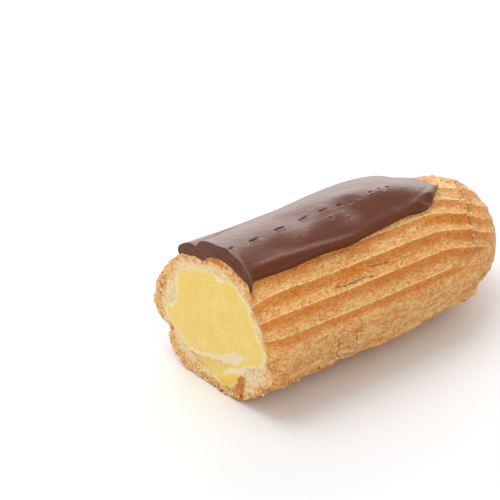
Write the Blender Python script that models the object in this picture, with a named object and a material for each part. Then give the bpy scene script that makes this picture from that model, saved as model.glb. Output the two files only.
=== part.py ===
"""Half of a chocolate eclair, cut square across its length and standing on its flat base.

Three solids: the fluted choux case with two inner webs, the custard that fills it, and the
chocolate glaze on top. The eclair lies along X. Its cut face looks to -X, its baked round end
is at +X, and the side at -Y is its near side. Metres, +Z up, base on Z = 0.
"""

import math

import bmesh
import bpy
from mathutils import Vector

MM = 0.001

# Clearances that keep neighbouring solids apart.
GAP = 0.3 * MM
CUSTARD_GAP = 0.4 * MM

# How far a cutter reaches past the cut face.
CUT_OVERRUN = 3.0 * MM

# Pastry case: its cross-section at the cut.
CASE_LENGTH = 80.0 * MM
HALF_WIDTH = 21.5 * MM
WAIST_HEIGHT = 12.9 * MM
CROWN_RISE = 18.5 * MM
CROWN_LEAN = 2.7 * MM
KEEL_DROP = 14.5 * MM

# Pastry case: how the section changes along the length.
MID_NARROWING = 0.07
NARROWING_SPAN = 0.8
END_NARROWING = 0.08
END_LOWERING = 0.16
TAPER_FROM = 0.4
BEND = 6.3 * MM
BEND_POWER = 2.6
CAP_LENGTH = 30.0 * MM
CAP_HEIGHT = 14.7 * MM
CAP_POWER = 2.4

# Flutes left by the star nozzle: sharp crests with hollows between them.
# A turn is an angle round the section, from the top, positive towards the near side.
FLUTE_PITCH = 14.6
FIRST_CREST = 11.7
FAR_FLUTES = 8
NEAR_FLUTES = 5
FLUTE_DEPTH_AT_CUT = 0.6 * MM
FLUTE_DEPTH_AT_END = 1.2 * MM
FULL_DEPTH_FROM = 56.0 * MM
FLUTE_SKEW = 0.8
FLUTE_FADE = 24.0
BED_FADE = 3.0
FAR_LIMIT = FIRST_CREST - FLUTE_PITCH * FAR_FLUTES
NEAR_LIMIT = FIRST_CREST + FLUTE_PITCH * NEAR_FLUTES
CREST_PULL = 2.4
PULL_LENGTH = 28.0 * MM
DRIFT_FADE = (-40.0, 20.0)
CREST_DROOP = 11.0
DROOP_FROM = 50.0 * MM
DROOP_TO = 68.0 * MM

# Furrow round the case where the piped end broke away from the body as it rose.
CRACK_AT = 64.0 * MM
CRACK_WIDTH = 1.6 * MM
CRACK_DEPTH = 1.0 * MM
CRACK_FADE = (95.0, 125.0)

# The near side is drawn in where it rolls under towards the base.
HEEL_TURN = 132.0
HEEL_SPREAD = 22.0
HEEL_DEPTH = 1.2 * MM

# Hollow under the far side, deepest at the cut.
NOTCH_TURN = -115.0
NOTCH_SPREAD = 12.0
NOTCH_DEPTH = 3.2 * MM
NOTCH_LENGTH = 26.0 * MM

# Case wall: its thickness at a few turns round the section, eased between them.
CAVITY_END = 70.0 * MM
CAVITY_CAP_LENGTH = 24.0 * MM
WALLS = (
    (-150.0, 4.5 * MM),
    (-118.0, 6.0 * MM),
    (-92.0, 4.6 * MM),
    (-60.0, 4.2 * MM),
    (-15.0, 3.5 * MM),
    (45.0, 5.0 * MM),
    (92.0, 2.6 * MM),
    (118.0, 6.8 * MM),
    (150.0, 3.2 * MM),
    (180.0, 4.4 * MM),
)

# Inner webs, each a membrane across the hollow: (y, z, thickness) along its middle.
WEB_START = 0.2 * MM
WEB_DEPTH = 22.0 * MM
LONG_WEB = (
    (12.5 * MM, 4.0 * MM, 1.4 * MM),
    (8.8 * MM, 5.2 * MM, 1.1 * MM),
    (4.1 * MM, 6.1 * MM, 1.1 * MM),
    (-1.0 * MM, 7.5 * MM, 1.5 * MM),
    (-5.4 * MM, 9.1 * MM, 2.4 * MM),
    (-8.4 * MM, 9.9 * MM, 3.4 * MM),
    (-10.8 * MM, 11.6 * MM, 0.9 * MM),
)
SHORT_WEB = (
    (-4.4 * MM, 5.5 * MM, 0.9 * MM),
    (-8.2 * MM, 7.4 * MM, 1.4 * MM),
    (-11.6 * MM, 8.8 * MM, 2.0 * MM),
    (-16.0 * MM, 10.8 * MM, 2.0 * MM),
    (-18.6 * MM, 11.8 * MM, 1.6 * MM),
)

# Chocolate glaze: its outline is given by the turns of its two edges.
GLAZE_END = 64.5 * MM
GLAZE_END_ROUND = 6.0 * MM
GLAZE_NEAR_TURN = 29.5
GLAZE_FAR_TURN = -40.0
GLAZE_DRAW_IN = 18.0
DRAW_IN_FROM = 24.0 * MM
GLAZE_THICKNESS = 2.7 * MM
GLAZE_SWELL = 0.6 * MM
GLAZE_SWELL_AT = 38.0 * MM
GLAZE_SAG_AT = 9.0 * MM
GLAZE_WAVE_SPREAD = 11.0 * MM
GLAZE_EDGE_POWER = 4.0
GLAZE_EDGE_ROUND = 0.45
LIP = 0.12
GLAZE_FAR_THINNING = 0.4
GLAZE_END_THINNING = 0.4
THINNING_FROM = 42.0 * MM

# How finely the lofts are divided.
FLUTE_SAMPLES = (0.0, 0.18, 0.42, 0.72)
CRACK_SAMPLES = (-1.6, -0.6, 0.0, 0.6, 1.6)
UNDERSIDE_POINTS = 14
BODY_STATIONS = 11
CAP_STATIONS = 12
CAVITY_POINTS = 36
CAVITY_STATIONS = 6
GLAZE_ACROSS = 14
GLAZE_STATIONS = 16
GLAZE_END_STATIONS = 9

# Finishes: colour, roughness.
CHOUX = ((0.62, 0.31, 0.10, 1.0), 0.75)
CUSTARD = ((0.86, 0.62, 0.18, 1.0), 0.45)
CHOCOLATE = ((0.13, 0.045, 0.025, 1.0), 0.30)


def ease(low, high, value):
    """Rise smoothly from 0 at low to 1 at high."""
    share = min(max((value - low) / (high - low), 0.0), 1.0)
    return share * share * (3.0 - 2.0 * share)


def hump(middle, spread, value):
    """A bell that is 1 at the middle and all but 0 two spreads away."""
    return math.exp(-(((value - middle) / spread) ** 2))


def closing(x, end, cap_length):
    """Scale of a section in a rounded end: 1 before the cap, 0 at its tip."""
    share = min(max((x - (end - cap_length)) / cap_length, 0.0), 1.0)
    return (1.0 - share ** CAP_POWER) ** (1.0 / CAP_POWER)


def envelope(x, turn, inset, end=CASE_LENGTH, cap_length=CAP_LENGTH):
    """A point of the plain case, without its flutes, moved inwards by inset."""
    along = x / CASE_LENGTH
    taper = ease(TAPER_FROM, 1.0, along)
    waist_pull = MID_NARROWING * math.sin(math.pi * min(max(along / NARROWING_SPAN, 0.0), 1.0))
    half_width = HALF_WIDTH * (1.0 - waist_pull) * (1.0 - END_NARROWING * taper)
    crown = CROWN_RISE * (1.0 - END_LOWERING * taper)
    side = math.sin(math.radians(turn))
    up = math.cos(math.radians(turn))
    rise = crown if up > 0.0 else KEEL_DROP
    y = (inset - half_width) * side - CROWN_LEAN * max(up, 0.0)
    z = max(WAIST_HEIGHT + (rise - inset) * up, 0.0)
    scale = closing(x, end, cap_length)
    middle = BEND * max(along, 0.0) ** BEND_POWER
    return Vector((x, middle + y * scale, CAP_HEIGHT + (z - CAP_HEIGHT) * scale))


def crest_drift(x):
    """How far the crests have turned from their places at mid-length."""
    pull = CREST_PULL * (1.0 - ease(0.0, PULL_LENGTH, x))
    droop = CREST_DROOP * ease(DROOP_FROM, DROOP_TO, x)
    return droop - pull


def end_round(x):
    """Share of its full width that the glaze keeps in its blunt end: 1 before it, 0 at its tip."""
    share = min(max((x - GLAZE_END + GLAZE_END_ROUND) / GLAZE_END_ROUND, 0.0), 1.0)
    return math.sqrt(1.0 - share ** 3)


def glaze_edges(x):
    """Turns of the glaze's far and near edges at a station."""
    draw = max((x - DRAW_IN_FROM) / (GLAZE_END - DRAW_IN_FROM), 0.0)
    near = GLAZE_NEAR_TURN - GLAZE_DRAW_IN * draw
    middle = 0.5 * (near + GLAZE_FAR_TURN)
    half = 0.5 * (near - GLAZE_FAR_TURN) * end_round(x)
    return middle - half, middle + half


def flute_depth(x, turn):
    """Depth of the flutes, which fade out low on the case and under the glaze."""
    deepening = ease(0.0, FULL_DEPTH_FROM, x)
    depth = FLUTE_DEPTH_AT_CUT + (FLUTE_DEPTH_AT_END - FLUTE_DEPTH_AT_CUT) * deepening
    from_far = ease(FAR_LIMIT, FAR_LIMIT + FLUTE_FADE, turn)
    to_near = 1.0 - ease(NEAR_LIMIT - FLUTE_FADE, NEAR_LIMIT, turn)
    far, near = glaze_edges(min(x, GLAZE_END))
    covered = ease(far - BED_FADE, far + BED_FADE, turn)
    covered *= 1.0 - ease(near - BED_FADE, near + BED_FADE, turn)
    if x >= GLAZE_END:
        covered = 0.0
    return depth * from_far * to_near * (1.0 - covered)


def case_point(x, turn, flute_share):
    """A point of the outer case; flute_share runs from 0 on a crest to 1 on the next."""
    hollow = math.sin(math.pi * flute_share ** FLUTE_SKEW)
    relief = flute_depth(x, turn) * hollow
    relief += CRACK_DEPTH * hump(CRACK_AT, CRACK_WIDTH, x) * (1.0 - ease(*CRACK_FADE, abs(turn)))
    relief += HEEL_DEPTH * hump(HEEL_TURN, HEEL_SPREAD, turn)
    relief += NOTCH_DEPTH * hump(NOTCH_TURN, NOTCH_SPREAD, turn) * (1.0 - ease(0.0, NOTCH_LENGTH, x))
    return envelope(x, turn, relief)


def case_ring(x):
    """The outer case at one station: every flute, then the smooth underside."""
    drift = crest_drift(x)
    points = []
    for flute in range(FAR_FLUTES + NEAR_FLUTES):
        for share in FLUTE_SAMPLES:
            turn = FAR_LIMIT + FLUTE_PITCH * (flute + share)
            swung = turn + drift * ease(*DRIFT_FADE, turn)
            points.append(case_point(x, swung, share))
    first_under = NEAR_LIMIT + drift
    for step in range(UNDERSIDE_POINTS):
        turn = first_under + (FAR_LIMIT + 360.0 - first_under) * step / UNDERSIDE_POINTS
        wrapped = turn if turn <= 180.0 else turn - 360.0
        points.append(case_point(x, wrapped, 0.0))
    return points


def wall_thickness(turn):
    """Wall thickness at a turn, eased between the two nearest named ones."""
    stops = [(WALLS[-1][0] - 360.0, WALLS[-1][1])] + list(WALLS)
    for (low, thin), (high, thick) in zip(stops, stops[1:]):
        if low <= turn <= high:
            return thin + (thick - thin) * ease(low, high, turn)
    return WALLS[-1][1]


def cavity_ring(x, clearance):
    """The hollow at one station, made smaller all round by the clearance."""
    ring = []
    for step in range(CAVITY_POINTS):
        turn = -180.0 + 360.0 * step / CAVITY_POINTS
        inset = wall_thickness(turn) + clearance
        ring.append(envelope(x, turn, inset, CAVITY_END - clearance, CAVITY_CAP_LENGTH))
    return ring


def glaze_thickness(x):
    """Depth of the glaze down the middle: thin near the cut, swollen further back."""
    swell = GLAZE_SWELL * hump(GLAZE_SWELL_AT, GLAZE_WAVE_SPREAD, x)
    sag = GLAZE_SWELL * hump(GLAZE_SAG_AT, GLAZE_WAVE_SPREAD, x)
    thinning = 1.0 - GLAZE_END_THINNING * ease(THINNING_FROM, GLAZE_END, x)
    return (GLAZE_THICKNESS + swell - sag) * thinning * (LIP + (1.0 - LIP) * end_round(x))


def glaze_ring(x):
    """The glaze at one station: along its underside, then back over its top."""
    far, near = glaze_edges(x)
    depth = glaze_thickness(x)
    across = [-math.cos(math.pi * step / GLAZE_ACROSS) for step in range(GLAZE_ACROSS + 1)]
    middle = 0.5 * (near + far)
    half = 0.5 * (near - far)
    under = [envelope(x, middle + half * place, -GAP) for place in across]
    over = []
    for place in reversed(across[1:-1]):
        thinning = 1.0 - GLAZE_FAR_THINNING * ease(0.0, 1.0, -place)
        lift = depth * thinning * (1.0 - abs(place) ** GLAZE_EDGE_POWER) ** GLAZE_EDGE_ROUND
        over.append(envelope(x, middle + half * place, -GAP - lift))
    return under + over


def loft(name, rings, tip=None):
    """A closed skin through the rings, ended by flat faces or drawn in to a tip."""
    mesh = bmesh.new()
    loops = [[mesh.verts.new(point) for point in ring] for ring in rings]
    count = len(loops[0])
    for loop, following in zip(loops, loops[1:]):
        for index in range(count):
            after = (index + 1) % count
            mesh.faces.new((loop[index], loop[after], following[after], following[index]))
    mesh.faces.new(loops[0])
    if tip is None:
        mesh.faces.new(loops[-1])
    else:
        point = mesh.verts.new(tip)
        for index in range(count):
            mesh.faces.new((loops[-1][index], loops[-1][(index + 1) % count], point))
    bmesh.ops.recalc_face_normals(mesh, faces=mesh.faces)
    data = bpy.data.meshes.new(name)
    mesh.to_mesh(data)
    mesh.free()
    return bpy.data.objects.new(name, data)


def ribbon(name, spine, start, depth, growth):
    """A membrane that follows its spine across the section and runs along X."""
    upper = []
    lower = []
    for index, (y, z, thickness) in enumerate(spine):
        before = spine[max(index - 1, 0)]
        after = spine[min(index + 1, len(spine) - 1)]
        along = Vector((after[0] - before[0], after[1] - before[1])).normalized()
        across = Vector((-along.y, along.x)) * (0.5 * thickness + growth)
        reach = along * growth
        if index == 0:
            reach = -reach
        elif index < len(spine) - 1:
            reach = Vector((0.0, 0.0))
        middle = Vector((y, z)) + reach
        upper.append(middle + across)
        lower.append(middle - across)
    outline = upper + lower[::-1]
    rings = [[Vector((x, p.x, p.y)) for p in outline] for x in (start, depth)]
    return loft(name, rings)


def finish(piece, name, look):
    """Give a piece its own material and shade its gentle edges smooth."""
    colour, roughness = look
    material = bpy.data.materials.new(name)
    material.use_nodes = True
    shader = material.node_tree.nodes["Principled BSDF"]
    shader.inputs["Base Color"].default_value = colour
    shader.inputs["Roughness"].default_value = roughness
    shader.inputs["Metallic"].default_value = 0.0
    material.diffuse_color = colour
    piece.data.materials.append(material)
    piece.data.shade_smooth()
    piece.data.set_sharp_from_angle(angle=math.radians(35.0))


def combine(piece, tool, operation):
    """Cut a piece with a tool, or join the tool to it."""
    modifier = piece.modifiers.new(tool.name, "BOOLEAN")
    modifier.object = tool
    modifier.operation = operation
    modifier.solver = "EXACT"


def spaced(start, end, count):
    """Evenly spaced stations from start to end."""
    return [start + (end - start) * step / count for step in range(count + 1)]


def rounded(start, end, count):
    """Stations that crowd towards a rounded end and stop just short of its tip."""
    return [start + (end - start) * math.sin(0.5 * math.pi * step / count) for step in range(1, count)]


def case_stations():
    """Stations of the case, with a few more at the furrow near its round end."""
    cap_start = CASE_LENGTH - CAP_LENGTH
    stations = spaced(0.0, cap_start, BODY_STATIONS) + rounded(cap_start, CASE_LENGTH, CAP_STATIONS)
    reach = CRACK_SAMPLES[-1] * CRACK_WIDTH
    clear = [x for x in stations if abs(x - CRACK_AT) > reach]
    furrow = [CRACK_AT + CRACK_WIDTH * share for share in CRACK_SAMPLES]
    return sorted(clear + furrow)


def make_case():
    """The fluted outer body, still solid."""
    rings = [case_ring(x) for x in case_stations()]
    return loft("choux_shell", rings, envelope(CASE_LENGTH, 0.0, 0.0))


def make_hollow(name, start, clearance):
    """The body that fills the case's hollow, from its start back to its round end."""
    end = CAVITY_END - clearance
    cap_start = end - CAVITY_CAP_LENGTH
    body = spaced(start, cap_start, CAVITY_STATIONS)
    cap = rounded(cap_start, end, CAVITY_STATIONS)
    rings = [cavity_ring(x, clearance) for x in body + cap]
    return loft(name, rings, envelope(end, 0.0, 0.0, end, CAVITY_CAP_LENGTH))


def make_glaze():
    """The chocolate slab that lies on the crown, from the cut to its blunt end."""
    round_start = GLAZE_END - GLAZE_END_ROUND
    body = spaced(0.0, round_start, GLAZE_STATIONS)
    tail = rounded(round_start, GLAZE_END, GLAZE_END_STATIONS)
    return loft("chocolate_glaze", [glaze_ring(x) for x in body + tail])


def middle_of(pieces):
    """Middle of the pieces' box in plan."""
    corners = [vertex.co for piece in pieces for vertex in piece.data.vertices]
    xs = [corner.x for corner in corners]
    ys = [corner.y for corner in corners]
    return Vector((0.5 * (min(xs) + max(xs)), 0.5 * (min(ys) + max(ys)), 0.0))


def clear_scene():
    """Remove what the file opened with."""
    for item in list(bpy.data.objects):
        bpy.data.objects.remove(item)


def new_collection(name):
    """A collection of the scene."""
    collection = bpy.data.collections.new(name)
    bpy.context.scene.collection.children.link(collection)
    return collection


def main():
    clear_scene()
    parts = new_collection("chocolate_eclair")
    cutters = new_collection("cutters")

    case = make_case()
    custard = make_hollow("custard_filling", 0.0, CUSTARD_GAP)
    glaze = make_glaze()
    hollow = make_hollow("hollow_cutter", -CUT_OVERRUN, 0.0)
    webs = []
    slots = []
    for name, spine in (("long_web", LONG_WEB), ("short_web", SHORT_WEB)):
        webs.append(ribbon(name, spine, WEB_START, WEB_DEPTH, 0.0))
        slots.append(ribbon(name + "_slot", spine, -CUT_OVERRUN, WEB_DEPTH + GAP, GAP))

    combine(case, hollow, "DIFFERENCE")
    for web in webs:
        combine(case, web, "UNION")
    for slot in slots:
        combine(custard, slot, "DIFFERENCE")

    finish(case, "choux_pastry", CHOUX)
    finish(custard, "custard", CUSTARD)
    finish(glaze, "chocolate", CHOCOLATE)

    frame = bpy.data.objects.new("eclair_origin", None)
    frame.location = -middle_of([case, custard, glaze])
    parts.objects.link(frame)
    for piece in (case, custard, glaze):
        parts.objects.link(piece)
        piece.parent = frame
    for tool in [hollow] + webs + slots:
        cutters.objects.link(tool)
        tool.parent = frame
        tool.hide_render = True
        tool.display_type = "WIRE"


main()
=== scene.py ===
"""Half of a chocolate eclair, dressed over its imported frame.

The eclair lies along X with its cut face looking to -X and its baked round end at +X. Its near
side, on which the glaze runs lowest, looks to -Y. Metres, +Z up, base on Z = 0.
"""

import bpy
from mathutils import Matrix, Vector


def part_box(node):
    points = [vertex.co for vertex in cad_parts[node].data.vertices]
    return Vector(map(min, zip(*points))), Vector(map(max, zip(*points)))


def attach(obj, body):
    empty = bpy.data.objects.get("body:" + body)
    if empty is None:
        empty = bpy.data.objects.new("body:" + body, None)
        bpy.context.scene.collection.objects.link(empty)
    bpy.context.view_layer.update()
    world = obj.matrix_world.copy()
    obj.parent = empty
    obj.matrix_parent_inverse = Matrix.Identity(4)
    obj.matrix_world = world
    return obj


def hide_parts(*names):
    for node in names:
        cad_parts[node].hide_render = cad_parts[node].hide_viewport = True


bl_info = {
    "name": "Chocolate Eclair Half",
    "version": (1, 0, 0),
    "blender": (4, 5, 0),
    "location": "View3D > Sidebar > Eclair",
    "description": "Bakes, fills, cuts and glazes half of a chocolate eclair",
    "category": "Object",
}

import math

import bmesh
import bpy
import numpy as np
from mathutils import Vector

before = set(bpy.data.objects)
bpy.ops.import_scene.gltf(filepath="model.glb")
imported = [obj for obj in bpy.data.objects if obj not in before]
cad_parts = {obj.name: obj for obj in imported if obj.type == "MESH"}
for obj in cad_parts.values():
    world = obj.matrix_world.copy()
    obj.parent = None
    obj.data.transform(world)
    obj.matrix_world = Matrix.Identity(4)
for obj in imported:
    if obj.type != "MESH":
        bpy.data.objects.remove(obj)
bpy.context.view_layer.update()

MM = 0.001
BODY = "root"
CASE_LOW, CASE_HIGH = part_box("choux_shell")
CASE_LENGTH = CASE_HIGH.x - CASE_LOW.x

# Piped case: section at the cut and how it changes along the length.
HALF_WIDTH = 21.5 * MM
NEAR_REACH = 21.66 * MM
WAIST_HEIGHT = 12.9 * MM
CROWN_RISE = 18.5 * MM
CROWN_LEAN = 2.7 * MM
KEEL_DROP = 14.5 * MM
MID_NARROWING = 0.07
NARROWING_SPAN = 0.8
END_NARROWING = 0.08
END_LOWERING = 0.16
TAPER_FROM = 0.4
BEND = 6.3 * MM
BEND_POWER = 2.6
CAP_LENGTH = 30.0 * MM
CAP_HEIGHT = 14.7 * MM
CAP_POWER = 2.4
PLACE = Vector((CASE_LOW.x, CASE_LOW.y + NEAR_REACH, 0.0))

# Flutes. A turn is an angle round the section, from the top, positive towards the near side.
FLUTE_PITCH = 14.6
FIRST_CREST = 11.7
FAR_FLUTES = 8
NEAR_FLUTES = 5
FLUTE_FADE = 24.0
BED_FADE = 3.0
HIDDEN_CREST = 9
FAR_LIMIT = FIRST_CREST - FLUTE_PITCH * FAR_FLUTES
NEAR_LIMIT = FIRST_CREST + FLUTE_PITCH * NEAR_FLUTES
CREST_PULL = 2.4
PULL_LENGTH = 28.0 * MM
DRIFT_FADE = (-40.0, 20.0)
CREST_DROOP = 11.0
DROOP_SPAN = (50.0 * MM, 68.0 * MM)
CAP_DROOP = 20.0
CAP_DROOP_SPAN = (62.0 * MM, 77.0 * MM)

# Tables of (turn in degrees, millimetres) round the section.
WALLS = (
    (-174, 4.4), (-156, 4.5), (-144, 5.7), (-128, 6.0), (-119, 5.7), (-101, 4.1), (-90, 5.1),
    (-82, 7.8), (-70, 7.2), (-64, 5.4), (-60, 4.0), (-52, 3.5), (-38, 3.4), (-30, 3.6),
    (-18, 4.2), (-7, 4.0), (4, 4.4), (10, 3.3), (18, 3.7), (33, 5.0), (44, 5.4), (54, 6.0),
    (68, 5.7), (77, 5.0), (86, 3.9), (94, 4.4), (104, 6.8), (124, 8.2), (139, 6.5), (150, 4.6),
    (160, 3.4), (172, 3.6),
)
CRUSTS = (
    (-160, 3.0), (-130, 3.2), (-100, 3.0), (-80, 2.8), (-60, 1.8), (-40, 1.2), (-20, 2.2),
    (10, 2.4), (30, 3.6), (44, 4.2), (60, 4.0), (77, 2.9), (90, 2.2), (104, 3.6), (118, 2.0),
    (135, 1.0), (150, 1.0), (170, 2.4),
)
RING_CRACK = (
    (-125, 63.0), (-90, 65.0), (-60, 68.0), (-30, 70.5), (-4, 72.1), (11, 69.1), (21, 67.5),
    (31, 66.3), (37, 64.3), (44, 63.1), (53, 62.7), (60, 61.5), (71, 61.6), (80, 62.1), (97, 62.5),
    (125, 63.0),
)

# Step from the body down to the lid behind the ring crack, as a share: above it at the top.
RING_STEP = ((-90, 0.6), (-40, -0.3), (-4, -0.5), (15, -0.4), (32, 0.3), (60, 0.9), (95, 1.5))
# A lip of skin that stands up near the round end: station in millimetres, turn, spread, height.
LIP = (70.0, -24.0, 7.0, 0.6 * MM)

# Dents in the outer case at the cut: (turn, spread in degrees, depth, length along the case).
CASE_DENTS = (
    (132.0, 22.0, 1.2 * MM, 400.0 * MM),
    (-118.0, 9.0, 3.4 * MM, 24.0 * MM),
    (-17.0, 6.0, 1.6 * MM, 3.0 * MM),
    (-27.0, 7.0, 0.8 * MM, 3.0 * MM),
)

# Torn cracks in the skin: their run as (station in millimetres, turn) and their strength.
RIFTS = (
    (((19.9, 51.0), (22.3, 52.0), (24.8, 52.5), (27.4, 52.2), (29.8, 53.5)), 1.0),
    (((31.1, 46.8), (33.3, 47.5), (35.2, 48.0)), 0.9),
    (((37.0, 50.0), (40.0, 49.6), (43.5, 49.9)), 0.45),
    (((18.1, 87.5), (18.4, 96.0), (18.9, 112.0)), 1.0),
    (((13.7, 95.8), (14.5, 114.0)), 0.8),
    (((23.2, 87.2), (23.8, 110.0)), 0.9),
    (((24.3, 78.0), (24.6, 84.2)), 0.5),
    (((7.0, 106.0), (3.6, 107.5)), 0.8),
    (((9.6, 80.5), (12.1, 81.0), (14.6, 80.2)), 0.4),
    (((62.8, 9.0), (64.4, 14.0), (66.0, 20.0), (67.0, 25.0)), 0.6),
)
PORE_CLUSTERS = (
    (40.5, 34.5, 4.0, 3.0), (36.5, 33.0, 2.4, 2.4), (47.0, 31.5, 2.6, 2.2), (62.5, 12.0, 3.0, 9.0),
    (67.0, -4.0, 4.5, 14.0), (65.0, 22.0, 2.2, 5.0), (58.6, 23.0, 1.4, 2.2), (63.0, 27.0, 1.8, 2.4), (22.0, 31.5, 6.0, 2.4),
)
ARC = 0.36 * MM

# Chocolate glaze along the case: turns of its edges, width and height of its steep near side, and
# its greatest thickness.
GLAZE_NEAR = (
    (0.0, 32.4), (0.5, 28.4), (1.6, 25.4), (4.5, 25.4), (8.0, 26.4), (12.3, 26.7), (16.0, 26.0),
    (20.8, 25.7), (25.0, 26.6), (28.9, 27.2), (32.0, 26.2), (38.2, 24.6), (44.8, 22.5), (48.1, 21.5),
    (50.9, 22.6), (53.6, 21.9), (56.4, 18.2), (59.1, 12.2), (61.4, 7.3), (63.6, 3.0), (64.3, 1.2),
)
GLAZE_FAR = (
    (0.0, -40.0), (56.0, -40.0), (59.5, -36.0), (60.4, -27.0), (60.9, -18.0), (61.3, -8.0),
    (62.2, -2.0), (63.6, 0.2), (64.3, 0.8),
)
GLAZE_STEP = (
    (0.0, 1.5), (5.0, 2.1), (10.0, 2.5), (15.0, 1.8), (20.0, 1.2), (26.0, 0.95), (30.0, 1.1),
    (36.0, 1.6), (46.0, 1.9), (54.0, 2.2), (57.0, 2.0), (62.0, 1.0), (64.3, 0.5),
)
GLAZE_SIDE = (
    (0.0, 1.8), (3.0, 2.1), (10.0, 2.2), (20.0, 2.0), (28.0, 1.9), (34.0, 1.5), (46.0, 1.4),
    (54.0, 1.7), (58.0, 1.5), (61.0, 1.0), (64.3, 0.4),
)
GLAZE_DEPTH = (
    (0.0, 2.8), (9.0, 2.6), (24.0, 3.1), (34.0, 3.7), (44.0, 3.8), (49.0, 3.4), (53.0, 2.6),
    (57.0, 1.8), (60.0, 1.3), (64.3, 0.5),
)
GLAZE_SEAM = ((0.0, -22.0), (2.5, -20.5), (7.0, -22.0), (10.4, -21.0), (17.3, -28.0), (30.0, -36.0))
GLAZE_END = 64.3 * MM


def ease(low, high, value):
    """Rise smoothly from 0 at low to 1 at high."""
    share = np.clip((value - low) / (high - low), 0.0, 1.0)
    return share * share * (3.0 - 2.0 * share)


def hump(middle, spread, value):
    """A bell that is 1 at the middle and all but 0 two spreads away."""
    return np.exp(-(((value - middle) / spread) ** 2))


def read_off(stops, value, blur):
    """Read a table of (place, amount) at a value, with its corners softened over a blur."""
    places = [place for place, amount in stops]
    amounts = [amount for place, amount in stops]
    offsets = np.linspace(-blur, blur, 7)
    return sum(np.interp(value + offset, places, amounts) for offset in offsets) / len(offsets)


def wrapped(stops):
    """The same table of turns, repeated a full turn to either side."""
    return [(turn + lap, amount) for lap in (-360, 0, 360) for turn, amount in stops]


def lumps(points, size, seed):
    """Smooth random values from -1 to 1 that change about once every size metres."""
    table = np.random.default_rng(seed).uniform(-1.0, 1.0, (32, 32, 32))
    cells = points / size
    base = np.floor(cells).astype(int)
    share = cells - base
    share = share * share * (3.0 - 2.0 * share)
    total = 0.0
    for corner in np.ndindex(2, 2, 2):
        weight = np.prod(np.where(corner, share, 1.0 - share), axis=-1)
        x, y, z = np.moveaxis((base + corner) % 32, -1, 0)
        total = total + weight * table[x, y, z]
    return total


def patch(points, outline, soft):
    """1 inside a closed outline in the plane, 0 outside it, with a soft border."""
    corners = np.array(outline, float) * MM
    nearest = np.full(points.shape[:-1], np.inf)
    inside = np.zeros(points.shape[:-1], bool)
    for start, end in zip(corners, np.roll(corners, -1, axis=0)):
        edge = end - start
        offset = points - start
        share = np.clip(offset @ edge / (edge @ edge), 0.0, 1.0)
        gap = np.linalg.norm(offset - share[..., None] * edge, axis=-1)
        nearest = np.minimum(nearest, gap)
        rise = np.where(edge[1] == 0.0, 1e-12, edge[1])
        crosses = (start[1] > points[..., 1]) != (end[1] > points[..., 1])
        reach = start[0] + (points[..., 1] - start[1]) / rise * edge[0]
        inside ^= crosses & (points[..., 0] < reach)
    return ease(-soft, soft, np.where(inside, nearest, -nearest))


def closing(x, end, cap_length):
    """Scale of a section in a rounded end: 1 before the cap, 0 at its tip."""
    share = np.clip((x - (end - cap_length)) / cap_length, 0.0, 1.0)
    return (1.0 - share ** CAP_POWER) ** (1.0 / CAP_POWER)


def envelope(x, turn, inset, end=CASE_LENGTH, cap_length=CAP_LENGTH):
    """Points of the plain case, without its flutes, moved inwards by inset."""
    along = np.maximum(x, 0.0) / CASE_LENGTH
    taper = ease(TAPER_FROM, 1.0, along)
    waist_pull = MID_NARROWING * np.sin(math.pi * np.clip(along / NARROWING_SPAN, 0.0, 1.0))
    half_width = HALF_WIDTH * (1.0 - waist_pull) * (1.0 - END_NARROWING * taper)
    crown = CROWN_RISE * (1.0 - END_LOWERING * taper)
    side = np.sin(np.radians(turn))
    up = np.cos(np.radians(turn))
    rise = np.where(up > 0.0, crown, KEEL_DROP)
    y = (inset - half_width) * side - CROWN_LEAN * np.maximum(up, 0.0)
    z = np.maximum(WAIST_HEIGHT + (rise - inset) * up, 0.0)
    scale = closing(x, end, cap_length)
    middle = BEND * along ** BEND_POWER
    return np.stack(np.broadcast_arrays(x, middle + y * scale, CAP_HEIGHT + (z - CAP_HEIGHT) * scale), -1)


def crest_drift(x):
    """How far the crests have turned from their places at mid-length."""
    droop = CREST_DROOP * ease(*DROOP_SPAN, x) + CAP_DROOP * ease(*CAP_DROOP_SPAN, x)
    return droop - CREST_PULL * (1.0 - ease(0.0, PULL_LENGTH, x))


def glaze_edges(x):
    """Turns of the glaze's far and near edges at a station."""
    station = np.minimum(x, GLAZE_END) / MM
    return read_off(GLAZE_FAR, station, 0.3), read_off(GLAZE_NEAR, station, 0.5)


def skin(name, grid, folded_start=False):
    """A closed tube from a grid of points, ring after ring, drawn to a point at its ends.

    A folded start is a first ring that lies on itself, and is welded shut instead.
    """
    rows, columns = grid.shape[:2]
    points = [grid.reshape(-1, 3)]
    index = np.arange(rows * columns).reshape(rows, columns)
    after = np.roll(index, -1, axis=1)
    quads = np.stack((index[:-1], after[:-1], after[1:], index[1:]), -1).reshape(-1, 4)
    faces = [tuple(quad) for quad in quads.tolist()]
    for ring, order in ((0, -1), (rows - 1, 1)):
        if ring == 0 and folded_start:
            continue
        tip = rows * columns + len(points) - 1
        points.append(grid[ring].mean(axis=0)[None])
        for here, there in zip(index[ring].tolist(), after[ring].tolist()):
            faces.append((here, there, tip) if order > 0 else (there, here, tip))
    mesh = bpy.data.meshes.new(name)
    mesh.from_pydata(np.concatenate(points) + np.array(PLACE), [], faces)
    piece = bpy.data.objects.new(name, mesh)
    bpy.context.scene.collection.objects.link(piece)
    return piece


def close_skin(piece, seam=0):
    """Weld the first points of a folded skin, check the mesh and smooth it."""
    if seam:
        form = bmesh.new()
        form.from_mesh(piece.data)
        form.verts.ensure_lookup_table()
        bmesh.ops.remove_doubles(form, verts=form.verts[:seam], dist=1e-6)
        form.to_mesh(piece.data)
        form.free()
    piece.data.validate()
    piece.data.shade_smooth()


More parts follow.
